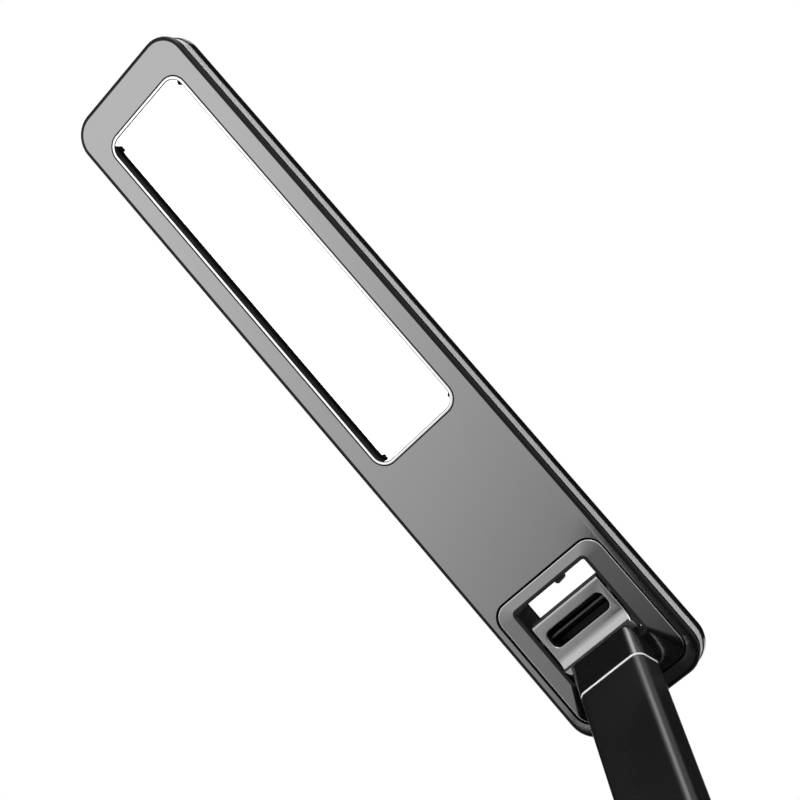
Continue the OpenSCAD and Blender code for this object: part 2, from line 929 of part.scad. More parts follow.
module base_cover() {
    color("#2a2a2c") difference() {
        union() {
            difference() {
                base_plan(0, round_high_edge(cover_foot_z, deck_height, deck_rim));
                base_plan(base_wall, round_high_edge(cover_foot_z - 1, deck_inner_z, deck_rim - base_wall));
            }
            translate([0, 0, pocket_z - pocket_floor])
                cylinder(r = turntable_radius + 3, h = deck_inner_z + 0.2 - pocket_z + pocket_floor);
            translate([0, 0, collar_foot_z])
                cylinder(r = hub_radius + 3.6, h = pocket_z - pocket_floor - collar_foot_z + 0.2);
            base_screw_places()
                translate([0, 0, plate_top_z + 0.05])
                    cylinder(r = base_boss_radius, h = deck_inner_z - plate_top_z);
        }
        translate([0, 0, pocket_z])
            cylinder(r = turntable_radius, h = deck_height);
        translate([0, 0, cover_foot_z - 1])
            cylinder(r = hub_radius + shaft_clearance, h = deck_height);
        key_places()
            cylinder(r = key_radius + 0.35, h = deck_height + 1);
        base_screw_places()
            cylinder(r = pilot_radius, h = deck_inner_z - 1);
        translate([-inlet_width / 2 - fit, base_behind_axis - base_wall - 1, inlet_z - fit])
            cube([inlet_width + 2 * fit, base_wall + 2, inlet_height + 2 * fit]);
    }
}

module base_plate() {
    color("#333335") difference() {
        base_plan(base_wall + 0.3, straight_edge(pad_thickness, plate_top_z));
        base_screw_places()
            translate([0, 0, pad_thickness - 1]) {
                cylinder(r = screw_radius + fit, h = 8);
                cylinder(r = screw_head + fit, h = 1 + screw_head_height + 0.1);
            }
    }
}

module ballast_plate() {
    color("slategray") difference() {
        base_plan(base_wall + 2, straight_edge(plate_top_z, ballast_top_z));
        translate([0, 0, plate_top_z - 1])
            cylinder(r = hub_radius + 2 * ballast_gap + 2, h = ballast_thickness + 2);
        base_screw_places()
            translate([0, 0, plate_top_z - 1])
                cylinder(r = base_boss_radius + 0.5, h = ballast_thickness + 2);
        translate([-inlet_width / 2 - ballast_gap, base_behind_axis - inlet_depth - ballast_gap,
            plate_top_z - 1])
            cube([inlet_width + 2 * ballast_gap, inlet_depth + ballast_gap + 1, ballast_thickness + 2]);
    }
}

module non_slip_pad() {
    color("#161616") base_plan(base_wall + 1.8, straight_edge(0, pad_thickness));
}

module control_board() {
    color("darkgreen") translate([0, key_y, 0]) {
        plate(2 * (key_pitch + control_board_side), control_board_depth, control_post_radius,
            control_board_z, control_board_z + control_board_thickness);
        for (sx = [-1, 1])
            translate([sx * (key_pitch + control_post_side), 0, ballast_top_z])
                cylinder(r = control_post_radius, h = control_board_z - ballast_top_z + 0.1);
    }
}

module key_switches() {
    color("black") key_places()
        translate([0, 0, control_board_z + control_board_thickness + switch_height / 2])
            cube([6, 6, switch_height], center = true);
}

module power_inlet() {
    color("black") difference() {
        translate([-inlet_width / 2, base_behind_axis - inlet_depth, inlet_z])
            cube([inlet_width, inlet_depth - 0.4, inlet_height]);
        translate([0, base_behind_axis, inlet_z + inlet_height / 2])
            rotate([90, 0, 0])
                difference() {
                    cylinder(r = inlet_radius, h = inlet_depth - 3);
                    translate([0, 0, 1.5])
                        cylinder(r = 0.9, h = inlet_depth);
                }
    }
}

module base_screws() {
    length = 9;
    color("silver") base_screw_places()
        translate([0, 0, pad_thickness + screw_head_height + length])
            mirror([0, 0, 1])
                screw(length);
}

// Keys

module key() {
    flange_top = deck_inner_z - 0.1;
    flange_low = flange_top - 1;
    stem_low = control_board_z + control_board_thickness + switch_height + key_travel + 0.1;
    crown = deck_height + key_rise;
    rotate_extrude()
        polygon(concat(
            [[0, stem_low], [2.5, stem_low], [2.5, flange_low], [key_radius + key_flange, flange_low],
                [key_radius + key_flange, flange_top], [key_radius, flange_top]],
            arc([key_radius - 0.6, crown - 0.6], 0.6, 0, 90, 4),
            [[0, crown]]
        ));
}

module power_key() {
    color("#1c1c1e") translate([0, key_y, 0]) key();
}

module dimmer_down_key() {
    color("#1c1c1e") translate([-key_pitch, key_y, 0]) key();
}

module dimmer_up_key() {
    color("#1c1c1e") translate([key_pitch, key_y, 0]) key();
}

face_shell();
side_band();
back_shell();
window_bezel();
diffuser();
reflector_frame();
light_board();
light_chips();
hinge_surround();
hinge_brackets();
head_hinge_shaft();
head_hinge_washers();
head_hinge_nut();
head_screws();
head_inner_screws();
head_knuckle();
head_neck_cover();
arm_tube();
arm_wires();
arm_screws();
base_neck_cover();
base_knuckle();
turntable();
yoke();
yoke_screws();
yoke_caps();
base_hinge_shaft();
base_hinge_washers();
base_hinge_nut();
swivel_washer();
swivel_nut();
base_cover();
base_plate();
ballast_plate();
non_slip_pad();
control_board();
key_switches();
power_inlet();
base_screws();
power_key();
dimmer_down_key();
dimmer_up_key();
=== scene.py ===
# %% [markdown]
# # A folding desk lamp, dressed for a studio picture
# The lamp's solids come from a construction program, with every screw and hinge in its true place.
# Here they get what a picture needs: fine edges, finishes, light and a camera. All lengths are in
# metres, and every piece keeps the place the frame gives it.

# %% Load the lamp's frame
import math

import bmesh
import bpy
import numpy as np
from mathutils import Matrix, Vector
from mathutils.geometry import tessellate_polygon


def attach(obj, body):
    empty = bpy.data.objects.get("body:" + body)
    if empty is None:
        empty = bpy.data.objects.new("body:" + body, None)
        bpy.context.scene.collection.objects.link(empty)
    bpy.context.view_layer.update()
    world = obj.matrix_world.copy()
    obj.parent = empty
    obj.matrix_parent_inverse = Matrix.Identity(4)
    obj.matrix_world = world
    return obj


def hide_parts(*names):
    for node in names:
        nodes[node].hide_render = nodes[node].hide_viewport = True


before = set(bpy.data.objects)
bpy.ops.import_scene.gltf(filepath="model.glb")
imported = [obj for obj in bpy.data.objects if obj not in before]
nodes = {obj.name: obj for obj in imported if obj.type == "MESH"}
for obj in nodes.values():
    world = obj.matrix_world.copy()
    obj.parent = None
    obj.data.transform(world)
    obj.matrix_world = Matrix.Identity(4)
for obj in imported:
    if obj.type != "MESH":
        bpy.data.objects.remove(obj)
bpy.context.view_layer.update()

# %% [markdown]
# ## The lamp's own directions
# The head is a flat bar that leans back from the top of the arm. It is easiest to describe it
# lying flat, with its light face down, and to turn it up at the end. So the head gets its own
# three numbers: across the lamp, along the head (from the tip at minus to the hinge end at plus)
# and through it (from the light face to the back). One matrix takes them to the real place.

# %% The head's place
HEAD_TILT = math.radians(41.4)
HEAD_SHAFT = Vector((0.0, 0.0, 0.425))
HEAD_TIP = Vector((0.0, -0.3015, 0.0))
TO_HEAD = Matrix.Translation(HEAD_SHAFT) @ Matrix.Rotation(-HEAD_TILT, 4, "X")
print("tip of the head:", [round(v, 3) for v in TO_HEAD @ HEAD_TIP])

# %% [markdown]
# ## The camera
# The picture is taken from low down and from the lamp's right, looking up at the light face. A
# camera in Blender looks along its own minus Z, with plus Y up, so its matrix is built from three
# directions: right, up and backwards.

# %% Camera
RIGHT = Vector((0.67078, 0.72506, -0.15602))
DOWN = Vector((-0.63823, 0.45716, -0.61940))
FORWARD = Vector((-0.37778, 0.51504, 0.76940))
CAMERA_AT = Vector((0.2361, -0.4060, 0.0248))
LENS = 66.62
camera = bpy.data.objects.new("camera", bpy.data.cameras.new("camera"))
bpy.context.scene.collection.objects.link(camera)
camera.matrix_world = Matrix((
    (RIGHT.x, -DOWN.x, -FORWARD.x, CAMERA_AT.x),
    (RIGHT.y, -DOWN.y, -FORWARD.y, CAMERA_AT.y),
    (RIGHT.z, -DOWN.z, -FORWARD.z, CAMERA_AT.z),
    (0.0, 0.0, 0.0, 1.0),
))
camera.data.lens = LENS
camera.data.clip_start = 0.01
bpy.context.scene.camera = camera
bpy.context.scene.view_settings.view_transform = "Standard"
print("camera at", [round(v, 3) for v in camera.location], "lens", camera.data.lens)

# %% [markdown]
# ## Node trees in a few lines
# A material is a graph of nodes. Two small helpers keep the graphs readable: one adds a node and
# sets its values, the other joins two sockets.


# %% Helpers for node trees
def add_node(tree, kind, values=None, **settings):
    """Adds a node, sets its properties from the settings and its input sockets from the values."""
    made = tree.nodes.new(kind)
    for key, value in settings.items():
        setattr(made, key, value)
    for key, value in (values or {}).items():
        made.inputs[key].default_value = value
    return made


def join(tree, source, target):
    """Joins an output socket to an input socket."""
    tree.links.new(source, target)


# %% [markdown]
# ## The studio
# The lamp stands on a pale floor in a white room. The white of the room is only what the camera
# and reflections see: the light that falls on the lamp is a plain, softer grey, so that pale
# pieces keep their shade. The Light Path node tells those rays apart.


# %% White room
def seen_rays(tree):
    """One for a ray from the camera, a reflection or a see-through piece, nought for other light."""
    path = add_node(tree, "ShaderNodeLightPath")
    first = add_node(tree, "ShaderNodeMath", operation="MAXIMUM")
    second = add_node(tree, "ShaderNodeMath", operation="MAXIMUM")
    join(tree, path.outputs["Is Camera Ray"], first.inputs[0])
    join(tree, path.outputs["Is Glossy Ray"], first.inputs[1])
    join(tree, first.outputs[0], second.inputs[0])
    join(tree, path.outputs["Is Transmission Ray"], second.inputs[1])
    return second.outputs[0]


AMBIENT = 0.28
WHITE = (1, 1, 1, 1)
world = bpy.data.worlds.new("white_room")
bpy.context.scene.world = world
world.use_nodes = True
tree = world.node_tree
tree.nodes.clear()
lit = add_node(tree, "ShaderNodeBackground", {"Color": WHITE, "Strength": AMBIENT})
white = add_node(tree, "ShaderNodeBackground", {"Color": WHITE, "Strength": 1.0})
either = add_node(tree, "ShaderNodeMixShader")
join(tree, seen_rays(tree), either.inputs[0])
join(tree, lit.outputs[0], either.inputs[1])
join(tree, white.outputs[0], either.inputs[2])
join(tree, either.outputs[0], add_node(tree, "ShaderNodeOutputWorld").inputs[0])
print("white room, lit at", AMBIENT)

# %% [markdown]
# What reflections see of the floor grows brighter with the logarithm of the distance from the
# lamp, as on a real table top that is shaded by the lamp itself. The camera sees the plain matt
# floor, which turns to white away from the lamp.

# %% Pale floor
FLOOR_HALF = 20.0
FLOOR_Z = -0.0001
FLOOR_GREY = 0.86
GLOSS_SLOPE = 0.48
GLOSS_LEVEL = 0.84
FADE = {"From Min": 0.45, "From Max": 1.6, "To Min": 0.35, "To Max": 1.0}
floor_mesh = bpy.data.meshes.new("floor")
floor_mesh.from_pydata(
    [(x * FLOOR_HALF, y * FLOOR_HALF, FLOOR_Z) for x, y in ((-1, -1), (1, -1), (1, 1), (-1, 1))],
    [], [(0, 1, 2, 3)])
floor = bpy.data.objects.new("floor", floor_mesh)
bpy.context.scene.collection.objects.link(floor)
pale = bpy.data.materials.new("pale_floor")
pale.use_nodes = True
tree = pale.node_tree
tree.nodes.clear()
matt = add_node(tree, "ShaderNodeBsdfDiffuse", {"Color": (FLOOR_GREY, FLOOR_GREY, FLOOR_GREY, 1)})
white = add_node(tree, "ShaderNodeEmission", {"Color": WHITE, "Strength": 1.0})
shaded = add_node(tree, "ShaderNodeEmission", {"Color": WHITE})
place = add_node(tree, "ShaderNodeTexCoord")
rays = add_node(tree, "ShaderNodeLightPath")
distance = add_node(tree, "ShaderNodeVectorMath", operation="LENGTH")
natural_log = add_node(tree, "ShaderNodeMath", {1: math.e}, operation="LOGARITHM")
level = add_node(tree, "ShaderNodeMath", {1: GLOSS_SLOPE, 2: GLOSS_LEVEL},
                 operation="MULTIPLY_ADD", use_clamp=True)
fade = add_node(tree, "ShaderNodeMapRange", FADE)
share = add_node(tree, "ShaderNodeMath", operation="MULTIPLY")
for_camera = add_node(tree, "ShaderNodeMixShader")
for_all = add_node(tree, "ShaderNodeMixShader")
join(tree, place.outputs["Object"], distance.inputs[0])
join(tree, distance.outputs["Value"], natural_log.inputs[0])
join(tree, natural_log.outputs[0], level.inputs[0])
join(tree, level.outputs[0], shaded.inputs["Strength"])
join(tree, distance.outputs["Value"], fade.inputs["Value"])
join(tree, fade.outputs[0], share.inputs[0])
join(tree, rays.outputs["Is Camera Ray"], share.inputs[1])
join(tree, share.outputs[0], for_camera.inputs[0])
join(tree, matt.outputs[0], for_camera.inputs[1])
join(tree, white.outputs[0], for_camera.inputs[2])
join(tree, rays.outputs["Is Glossy Ray"], for_all.inputs[0])
join(tree, for_camera.outputs[0], for_all.inputs[1])
join(tree, shaded.outputs[0], for_all.inputs[2])
join(tree, for_all.outputs[0], add_node(tree, "ShaderNodeOutputMaterial").inputs[0])
floor_mesh.materials.append(pale)
print("floor", 2 * FLOOR_HALF, "m square")


# %% [markdown]
# ## Soft lamps and dark cards
# Glossy black and gunmetal are drawn by what they reflect. A photographer lights them softly, puts
# one narrow lamp beside a rounded edge that should gleam, and dark cards where a surface should
# stay black. Only that narrow lamp gleams here; the other lamps light the matt side of things and
# no reflection shows them. The cards are the other way round: only reflections see them.


# %% Soft lamps
def soft_lamp(name, at, towards, size, power, gleams=False):
    """A rectangular lamp at one point facing another; size is (across, up), power in watts."""
    data = bpy.data.lights.new(name, "AREA")
    data.shape = "RECTANGLE"
    data.size, data.size_y = size
    data.energy = power
    lamp = bpy.data.objects.new(name, data)
    bpy.context.scene.collection.objects.link(lamp)
    lamp.location = at
    lamp.rotation_euler = (Vector(towards) - Vector(at)).to_track_quat("-Z", "Y").to_euler()
    lamp.visible_camera = False
    lamp.visible_glossy = gleams
    return lamp


soft_lamp("overhead", (0.3, -0.2, 1.9), (0, -0.05, 0.3), (1.2, 1.2), 16)
soft_lamp("low_front", (-0.42, -1.05, 0.06), (0, -0.25, 0.55), (1.0, 0.8), 8)
soft_lamp("back_fill", (0.9, 1.3, 0.9), (0, 0, 0.3), (0.9, 0.9), 10)
soft_lamp("edge_strip", (0.75, -0.9, 0.95), (0, 0, 0.32), (0.6, 1.1), 8.5, gleams=True)


# %% Dark cards
def dark_card(name, at, towards, size):
    """A black sheet of size (across, up) that only reflections see, facing a point."""
    half_x, half_y = size[0] / 2, size[1] / 2
    corners = [(x * half_x, y * half_y, 0) for x, y in ((-1, -1), (1, -1), (1, 1), (-1, 1))]
    mesh = bpy.data.meshes.new(name)
    mesh.from_pydata(corners, [], [(0, 1, 2, 3)])
    mesh.materials.append(card_black)
    card = bpy.data.objects.new(name, mesh)
    bpy.context.scene.collection.objects.link(card)
    card.location = at
    card.rotation_euler = (Vector(towards) - Vector(at)).to_track_quat("Z", "Y").to_euler()
    card.visible_camera = card.visible_diffuse = False
    card.visible_shadow = card.visible_transmission = False


card_black = bpy.data.materials.new("card_black")
card_black.use_nodes = True
card_shader = card_black.node_tree.nodes["Principled BSDF"]
card_shader.inputs["Base Color"].default_value = (0.004, 0.004, 0.004, 1)
card_shader.inputs["Specular IOR Level"].default_value = 0.0
dark_card("card_front", (-0.62, -1.1, 1.32), (0, 0, 0.3), (1.5, 0.8))
dark_card("card_back", (0.65, 1.05, 1.0), (0, 0, 0.4), (1.3, 1.3))
dark_card("card_over", (-0.6, 0.15, 1.5), (-0.6, 0.15, 0.0), (1.0, 1.8))
dark_card("card_below", (-0.08, 0.02, 0.004), (-0.08, 0.02, 1.0), (0.7, 0.54))
dark_card("card_beside", (-0.139, -0.3, 0.004), (-0.139, -0.3, 1.0), (0.087, 0.17))
dark_card("card_high", (0.55, 0.6, 1.55), (0, -0.1, 0.5), (1.3, 1.3))
dark_card("card_left", (-1.15, 0.05, 0.95), (0, 0, 0.3), (1.3, 1.0))

# %% [markdown]
# ## One texture for every moulded or painted piece
# No real surface is one flat colour. A moulded piece has a faint ripple in its gloss, a cloudy
# change in how shiny it is where it has been handled, and a slight change of shade. All three come
# from noise at two sizes, built once as a node group and used in each finish with its own numbers.

# %% Moulded surface group
VECTOR, FLOAT, COLOUR = "NodeSocketVector", "NodeSocketFloat", "NodeSocketColor"
GROUP_INPUTS = (("Place", VECTOR), ("Grain Scale", FLOAT), ("Cloud Scale", FLOAT),
                ("Smooth", FLOAT), ("Rough", FLOAT), ("Shade", COLOUR), ("Tint", COLOUR))
GROUP_OUTPUTS = (("Colour", COLOUR), ("Roughness", FLOAT), ("Height", FLOAT))
moulded = bpy.data.node_groups.new("moulded_surface", "ShaderNodeTree")
for name, kind in GROUP_INPUTS:
    moulded.interface.new_socket(name, in_out="INPUT", socket_type=kind)
for name, kind in GROUP_OUTPUTS:
    moulded.interface.new_socket(name, in_out="OUTPUT", socket_type=kind)
inlet = moulded.nodes.new("NodeGroupInput")
outlet = moulded.nodes.new("NodeGroupOutput")
grain = add_node(moulded, "ShaderNodeTexNoise", {"Detail": 2.0})
cloud = add_node(moulded, "ShaderNodeTexNoise", {"Detail": 4.0})
spread = add_node(moulded, "ShaderNodeMapRange", {"From Min": 0.3, "From Max": 0.7})
blend = add_node(moulded, "ShaderNodeMix", data_type="RGBA")
join(moulded, inlet.outputs["Place"], grain.inputs["Vector"])
join(moulded, inlet.outputs["Place"], cloud.inputs["Vector"])
join(moulded, inlet.outputs["Grain Scale"], grain.inputs["Scale"])
join(moulded, inlet.outputs["Cloud Scale"], cloud.inputs["Scale"])
join(moulded, cloud.outputs[0], spread.inputs["Value"])
join(moulded, inlet.outputs["Smooth"], spread.inputs["To Min"])
join(moulded, inlet.outputs["Rough"], spread.inputs["To Max"])
join(moulded, cloud.outputs[0], blend.inputs["Factor"])
join(moulded, inlet.outputs["Shade"], blend.inputs["A"])
join(moulded, inlet.outputs["Tint"], blend.inputs["B"])
join(moulded, blend.outputs["Result"], outlet.inputs["Colour"])
join(moulded, spread.outputs[0], outlet.inputs["Roughness"])
join(moulded, grain.outputs[0], outlet.inputs["Height"])
print("group", moulded.name, "sockets", len(moulded.interface.items_tree))


# %% [markdown]
# ## Finishes
# Every finish is one Principled shader fed by the moulded surface group. What is the same all over
# a piece, such as how metallic it is or how strongly it mirrors, is a plain number on the shader.


# %% Finish maker
def finish(name, shade, tint, smooth, rough, grain=1200.0, cloud=22.0, relief=0.02,
           metallic=0.0, specular=0.5, glow=0.0):
    """A finish between two shades and two roughnesses, with a fine relief; returns the material."""
    material = bpy.data.materials.new(name)
    material.use_nodes = True
    tree = material.node_tree
    surface = tree.nodes["Principled BSDF"]
    for key, value in (("Metallic", metallic), ("Specular IOR Level", specular),
                       ("Emission Strength", glow)):
        surface.inputs[key].default_value = value
    if glow:
        surface.inputs["Emission Color"].default_value = WHITE
    place = add_node(tree, "ShaderNodeTexCoord")
    texture = add_node(tree, "ShaderNodeGroup", {
        "Grain Scale": grain, "Cloud Scale": cloud, "Smooth": smooth, "Rough": rough,
        "Shade": (*shade, 1), "Tint": (*tint, 1)}, node_tree=moulded)
    bump = add_node(tree, "ShaderNodeBump", {"Strength": relief, "Distance": 0.001})
    join(tree, place.outputs["Object"], texture.inputs["Place"])
    join(tree, texture.outputs["Colour"], surface.inputs["Base Color"])
    join(tree, texture.outputs["Roughness"], surface.inputs["Roughness"])
    join(tree, texture.outputs["Height"], bump.inputs["Height"])
    join(tree, bump.outputs[0], surface.inputs["Normal"])
    return material


def grey(value, blue=0.0):
    """A neutral colour, or a cool one with a little more blue."""
    return value, value, value + blue


print("finish maker ready, with the group", moulded.name)

# %% Outer finishes
gunmetal = finish("gunmetal", grey(0.45, 0.005), grey(0.49, 0.005), 0.09, 0.15,
                  metallic=1.0, relief=0.006)
surround_grey = finish("surround_grey", grey(0.265, 0.005), grey(0.295, 0.005), 0.10, 0.16,
                       metallic=1.0, relief=0.006)
cast_grey = finish("cast_grey", grey(0.48, 0.005), grey(0.52, 0.005), 0.10, 0.15,
                   metallic=0.92, relief=0.006)
piano_black = finish("piano_black", grey(0.004, 0.0005), grey(0.007, 0.0005), 0.08, 0.16,
                     specular=0.2, relief=0.003)
anodised_black = finish("anodised_black", grey(0.006, 0.0005), grey(0.010, 0.001), 0.24, 0.32,
                        grain=2500.0, relief=0.05)
neck_black = finish("neck_black", grey(0.006, 0.0005), grey(0.010, 0.001), 0.12, 0.18,
                    grain=2500.0, relief=0.01, specular=0.9)
band_silver = finish("band_silver", grey(0.52, 0.01), grey(0.58, 0.01), 0.32, 0.42,
                     metallic=0.3, relief=0.004)
# The bezel's glow is painted light: it brightens the plated front beyond what it mirrors.
plated_with_painted_glow = finish("plated_with_painted_glow", grey(0.92, 0.01), grey(0.96, 0.01), 0.06, 0.14,
                metallic=1.0, relief=0.003, glow=0.35)
# Bare metal on the arm's cut ends; on the black neck covers' rims this pale colour is a painted
# highlight.
cut_edge_and_painted_highlight = finish("cut_edge_and_painted_highlight", grey(0.74, 0.01), grey(0.82, 0.01), 0.2, 0.3,
                  metallic=0.35, relief=0.01)
# The surround's foot is painted this pale metal for a painted highlight round the frame.
foot_painted_highlight = finish("foot_painted_highlight", grey(0.78, 0.01), grey(0.84, 0.01), 0.12, 0.2,
                     metallic=1.0, relief=0.003)
key_black = finish("key_black", grey(0.014, 0.001), grey(0.022, 0.002), 0.35, 0.5,
                   grain=3500.0, relief=0.15)
pad_rubber = finish("pad_rubber", grey(0.016), grey(0.030), 0.7, 0.85, grain=2200.0, relief=0.4)
print("outer finishes:", moulded.users)

# %% Inner finishes
# In the hinge tunnel, on the crest, the nub and the knuckles' slots this black is a painted shade;
# on the hidden tongue and spigot it is their colour.
inner_black_and_painted_shade = finish("inner_black_and_painted_shade", grey(0.008), grey(0.016), 0.4, 0.5, specular=0.3)
# This black on the window's long inner walls and foot is a painted dark reflection; on the clips and
# the hidden flange it is their colour.
deep_black_and_painted_reflection = finish("deep_black_and_painted_reflection", grey(0.003), grey(0.005), 0.6, 0.7, specular=0.05)
# The glow is the lamp's light on the diffuser; on the bezel's short walls it is painted light.
opal = finish("opal", grey(0.92), grey(0.96), 0.45, 0.55, glow=0.85)
board_white = finish("board_white", grey(0.80, -0.02), grey(0.86, -0.02), 0.4, 0.55)
phosphor = finish("phosphor", (0.85, 0.70, 0.22), (0.92, 0.78, 0.30), 0.3, 0.4)
bright_steel = finish("bright_steel", (0.50, 0.51, 0.52), (0.62, 0.63, 0.64), 0.18, 0.32,
                      metallic=1.0, relief=0.05)
dark_steel = finish("dark_steel", grey(0.05, 0.005), grey(0.09, 0.005), 0.22, 0.34,
                    metallic=1.0, relief=0.03)
dark_bronze = finish("dark_bronze", (0.066, 0.060, 0.052), (0.095, 0.086, 0.074), 0.3, 0.45,
                     metallic=1.0, relief=0.04)
wire_red = finish("wire_red", (0.40, 0.03, 0.02), (0.52, 0.05, 0.04), 0.4, 0.5)
laminate = finish("laminate", (0.02, 0.14, 0.05), (0.03, 0.20, 0.08), 0.3, 0.45)
print("all finishes:", moulded.users)

# %% [markdown]
# ## Surfaces from paths and profiles
# Most of this lamp is a flat shape with an edge that runs once round it: the head's face shell,
# the band, the window's bezel, the arm's tube. Such a piece is two short lists. One is the path
# round it, the other is the edge's profile, and the surface is every profile point at every path
# point. With numpy that is one sum over whole arrays, and the faces are index arithmetic on the
# same grid. From here on the numbers of paths and profiles are millimetres.

# %% Paths
MM = 0.001
CORNER_STEPS = 10


def rounded_rectangle(width, length, corner, centre=(0.0, 0.0)):
    """Path round a rectangle with round corners: each corner's centre plus its radius times the
    direction of an angle that turns once round; gives the points and the outward directions."""
    turn = np.linspace(0.0, math.pi / 2, CORNER_STEPS)
    angle = (np.arange(4)[:, None] * math.pi / 2 + turn).ravel()
    outward = np.column_stack((np.cos(angle), np.sin(angle)))
    side_x = np.repeat([1, -1, -1, 1], CORNER_STEPS) * (width / 2 - corner)
    side_y = np.repeat([1, 1, -1, -1], CORNER_STEPS) * (length / 2 - corner)
    return np.column_stack((side_x, side_y)) + corner * outward + np.array(centre), outward


def circle(radius, centre, steps=24):
    """Path round a circle: its centre plus the radius times the direction of each angle."""
    angle = np.arange(steps) * 2 * math.pi / steps
    outward = np.column_stack((np.cos(angle), np.sin(angle)))
    return radius * outward + np.array(centre), outward


print("a path round a corner has", CORNER_STEPS, "points")


# %% Grids and sheets
def carried(path, profile):
    """Grid of points: the path moved inwards by a profile point's first number, at the height of
    its second, for every point of the profile."""
    points, outward = path
    inset, height = np.array(profile, float).T
    flat = points[None] - inset[:, None, None] * outward[None]
    lifted = np.broadcast_to(height[:, None, None], flat.shape[:2] + (1,))
    return np.concatenate((flat, lifted), axis=2)


def quarter(inset, height, radius, start, steps=5):
    """Profile points of a quarter round: a centre plus the radius times the direction of an angle
    that starts at a number of degrees and turns by 90."""
    angle = np.radians(start + np.linspace(0.0, 90.0, steps))
    return list(zip(inset + radius * np.cos(angle), height + radius * np.sin(angle)))


def surface(grid, closed=False, look=0):
    """Points, quads and finish number of a grid whose columns close on themselves; closed joins
    its last row to its first as well."""
    rows, columns = grid.shape[:2]
    row = np.arange(rows if closed else rows - 1)[:, None]
    column = np.arange(columns)[None]
    next_row, next_column = (row + 1) % rows, (column + 1) % columns
    corners = np.stack((row * columns + column, row * columns + next_column,
                        next_row * columns + next_column, next_row * columns + column), axis=-1)
    return grid.reshape(-1, 3), corners.reshape(-1, 4), look


def sheet(rings, height, look=0):
    """Points, triangles and finish number of a flat sheet between an outline and its holes."""
    lifted = [np.column_stack((ring, np.full(len(ring), height))) for ring in rings]
    triangles = tessellate_polygon([list(map(Vector, ring.tolist())) for ring in lifted])
    return np.concatenate(lifted), np.array(triangles), look


def moved(part, place):
    """A part with its points taken elsewhere by a function of the whole array."""
    return place(part[0]), part[1], part[2]


def plug(path, low, high, look=0):
    """A closed solid block on a path between two heights."""
    return [surface(carried(path, [(0, low), (0, high)]), look=look),
            sheet([path[0]], low, look), sheet([path[0]], high, look)]


print("a quarter round:", [(round(a, 2), round(b, 2)) for a, b in quarter(1, 1, 1, 180)])


# %% From parts to a piece
SHARP = math.radians(35)
MERGE = 2e-6
dressed = {}


def finish_mesh(mesh, name, node, body):
    """Merges a mesh's doubles, points its faces outwards and hands it to the frame as a piece."""
    shape = bmesh.new()
    shape.from_mesh(mesh)
    bmesh.ops.remove_doubles(shape, verts=shape.verts, dist=MERGE)
    bmesh.ops.recalc_face_normals(shape, faces=shape.faces)
    shape.to_mesh(mesh)
    shape.free()
    mesh.shade_smooth()
    mesh.set_sharp_from_angle(angle=SHARP)
    piece = bpy.data.objects.new(name, mesh)
    bpy.context.scene.collection.objects.link(piece)
    weighted = piece.modifiers.new("flat faces stay flat", "WEIGHTED_NORMAL")
    weighted.keep_sharp = True
    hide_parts(node)
    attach(piece, body)
    dressed[node] = piece
    return piece


def build(node, body, parts, place, finishes):
    """A piece from its parts, in millimetres: place is the matrix that takes them to the lamp."""
    starts = np.cumsum([0] + [len(points) for points, _faces, _look in parts])
    points = np.concatenate([points for points, _faces, _look in parts]) * MM
    placed = points @ np.array(place.to_3x3()).T + np.array(place.translation)
    corners = [row for (_points, faces, _look), start in zip(parts, starts)
               for row in (faces + start).tolist()]
    mesh = bpy.data.meshes.new(node + "_shaped")
    mesh.from_pydata(placed.tolist(), [], corners)
    for material in finishes:
        mesh.materials.append(material)
    looks = np.repeat([look for _points, _faces, look in parts],
                      [len(faces) for _points, faces, _look in parts])
    mesh.polygons.foreach_set("material_index", looks.astype(np.int32))
    piece = finish_mesh(mesh, node + "_shaped", node, body)
    print(piece.name, "points", len(mesh.vertices), "faces", len(mesh.polygons))
    return piece


# %% [markdown]
# ## The head's face and band
# The head is two mouldings with a metal band between them. The light face is a gunmetal sheet in a
# black rim. Its edge is a quarter round, then a short wall; inside, the shell is hollow. The sheet
# has two holes, for the light window and for the hinge, and both have a fine black lip that draws
# the seam.

# %% Face shell
HEAD_OUTLINE = rounded_rectangle(67.0, 346.0, 12.0, (0, -128.5))
WINDOW_MID = (0, -191.65)
HINGE_MID = (0, 1.3)
FRAME_MID = (0, 7.15)
FACE_Z, INNER_Z, BAND_Z, BACK_Z = -3.9, -2.3, -1.3, 5.6
SHELL_WALL, FACE_ROUND, SHEET_INSET = 2.0, 1.3, 1.9
LIP, EASE = 0.5, 0.15
window_hole = rounded_rectangle(47.3, 187.0, 7.15, WINDOW_MID)
hinge_hole = rounded_rectangle(58.0, 61.5, 7.4, FRAME_MID)
rim_profile = ([(SHEET_INSET, FACE_Z)]
               + quarter(FACE_ROUND, FACE_Z + FACE_ROUND, FACE_ROUND, 180)[::-1]
               + [(0, BAND_Z - EASE), (EASE, BAND_Z), (SHELL_WALL, BAND_Z), (SHELL_WALL, INNER_Z)])
lip_profile = [(-LIP, FACE_Z), (-0.1, FACE_Z + 0.1), (0, FACE_Z + 0.3), (0, INNER_Z)]
sheet_edge = carried(HEAD_OUTLINE, [(SHEET_INSET, FACE_Z)])[0, :, :2]
inner_edge = carried(HEAD_OUTLINE, [(SHELL_WALL, INNER_Z)])[0, :, :2]
wide_holes = [points + LIP * outward for points, outward in (window_hole, hinge_hole)]
build("face_shell", "head", [
    sheet([sheet_edge] + wide_holes, FACE_Z),
    surface(carried(HEAD_OUTLINE, rim_profile), look=1),
    sheet([inner_edge, window_hole[0], hinge_hole[0]], INNER_Z, 1),
    surface(carried(window_hole, lip_profile), look=1),
    surface(carried(hinge_hole, lip_profile), look=1),
], TO_HEAD, (gunmetal, piano_black))

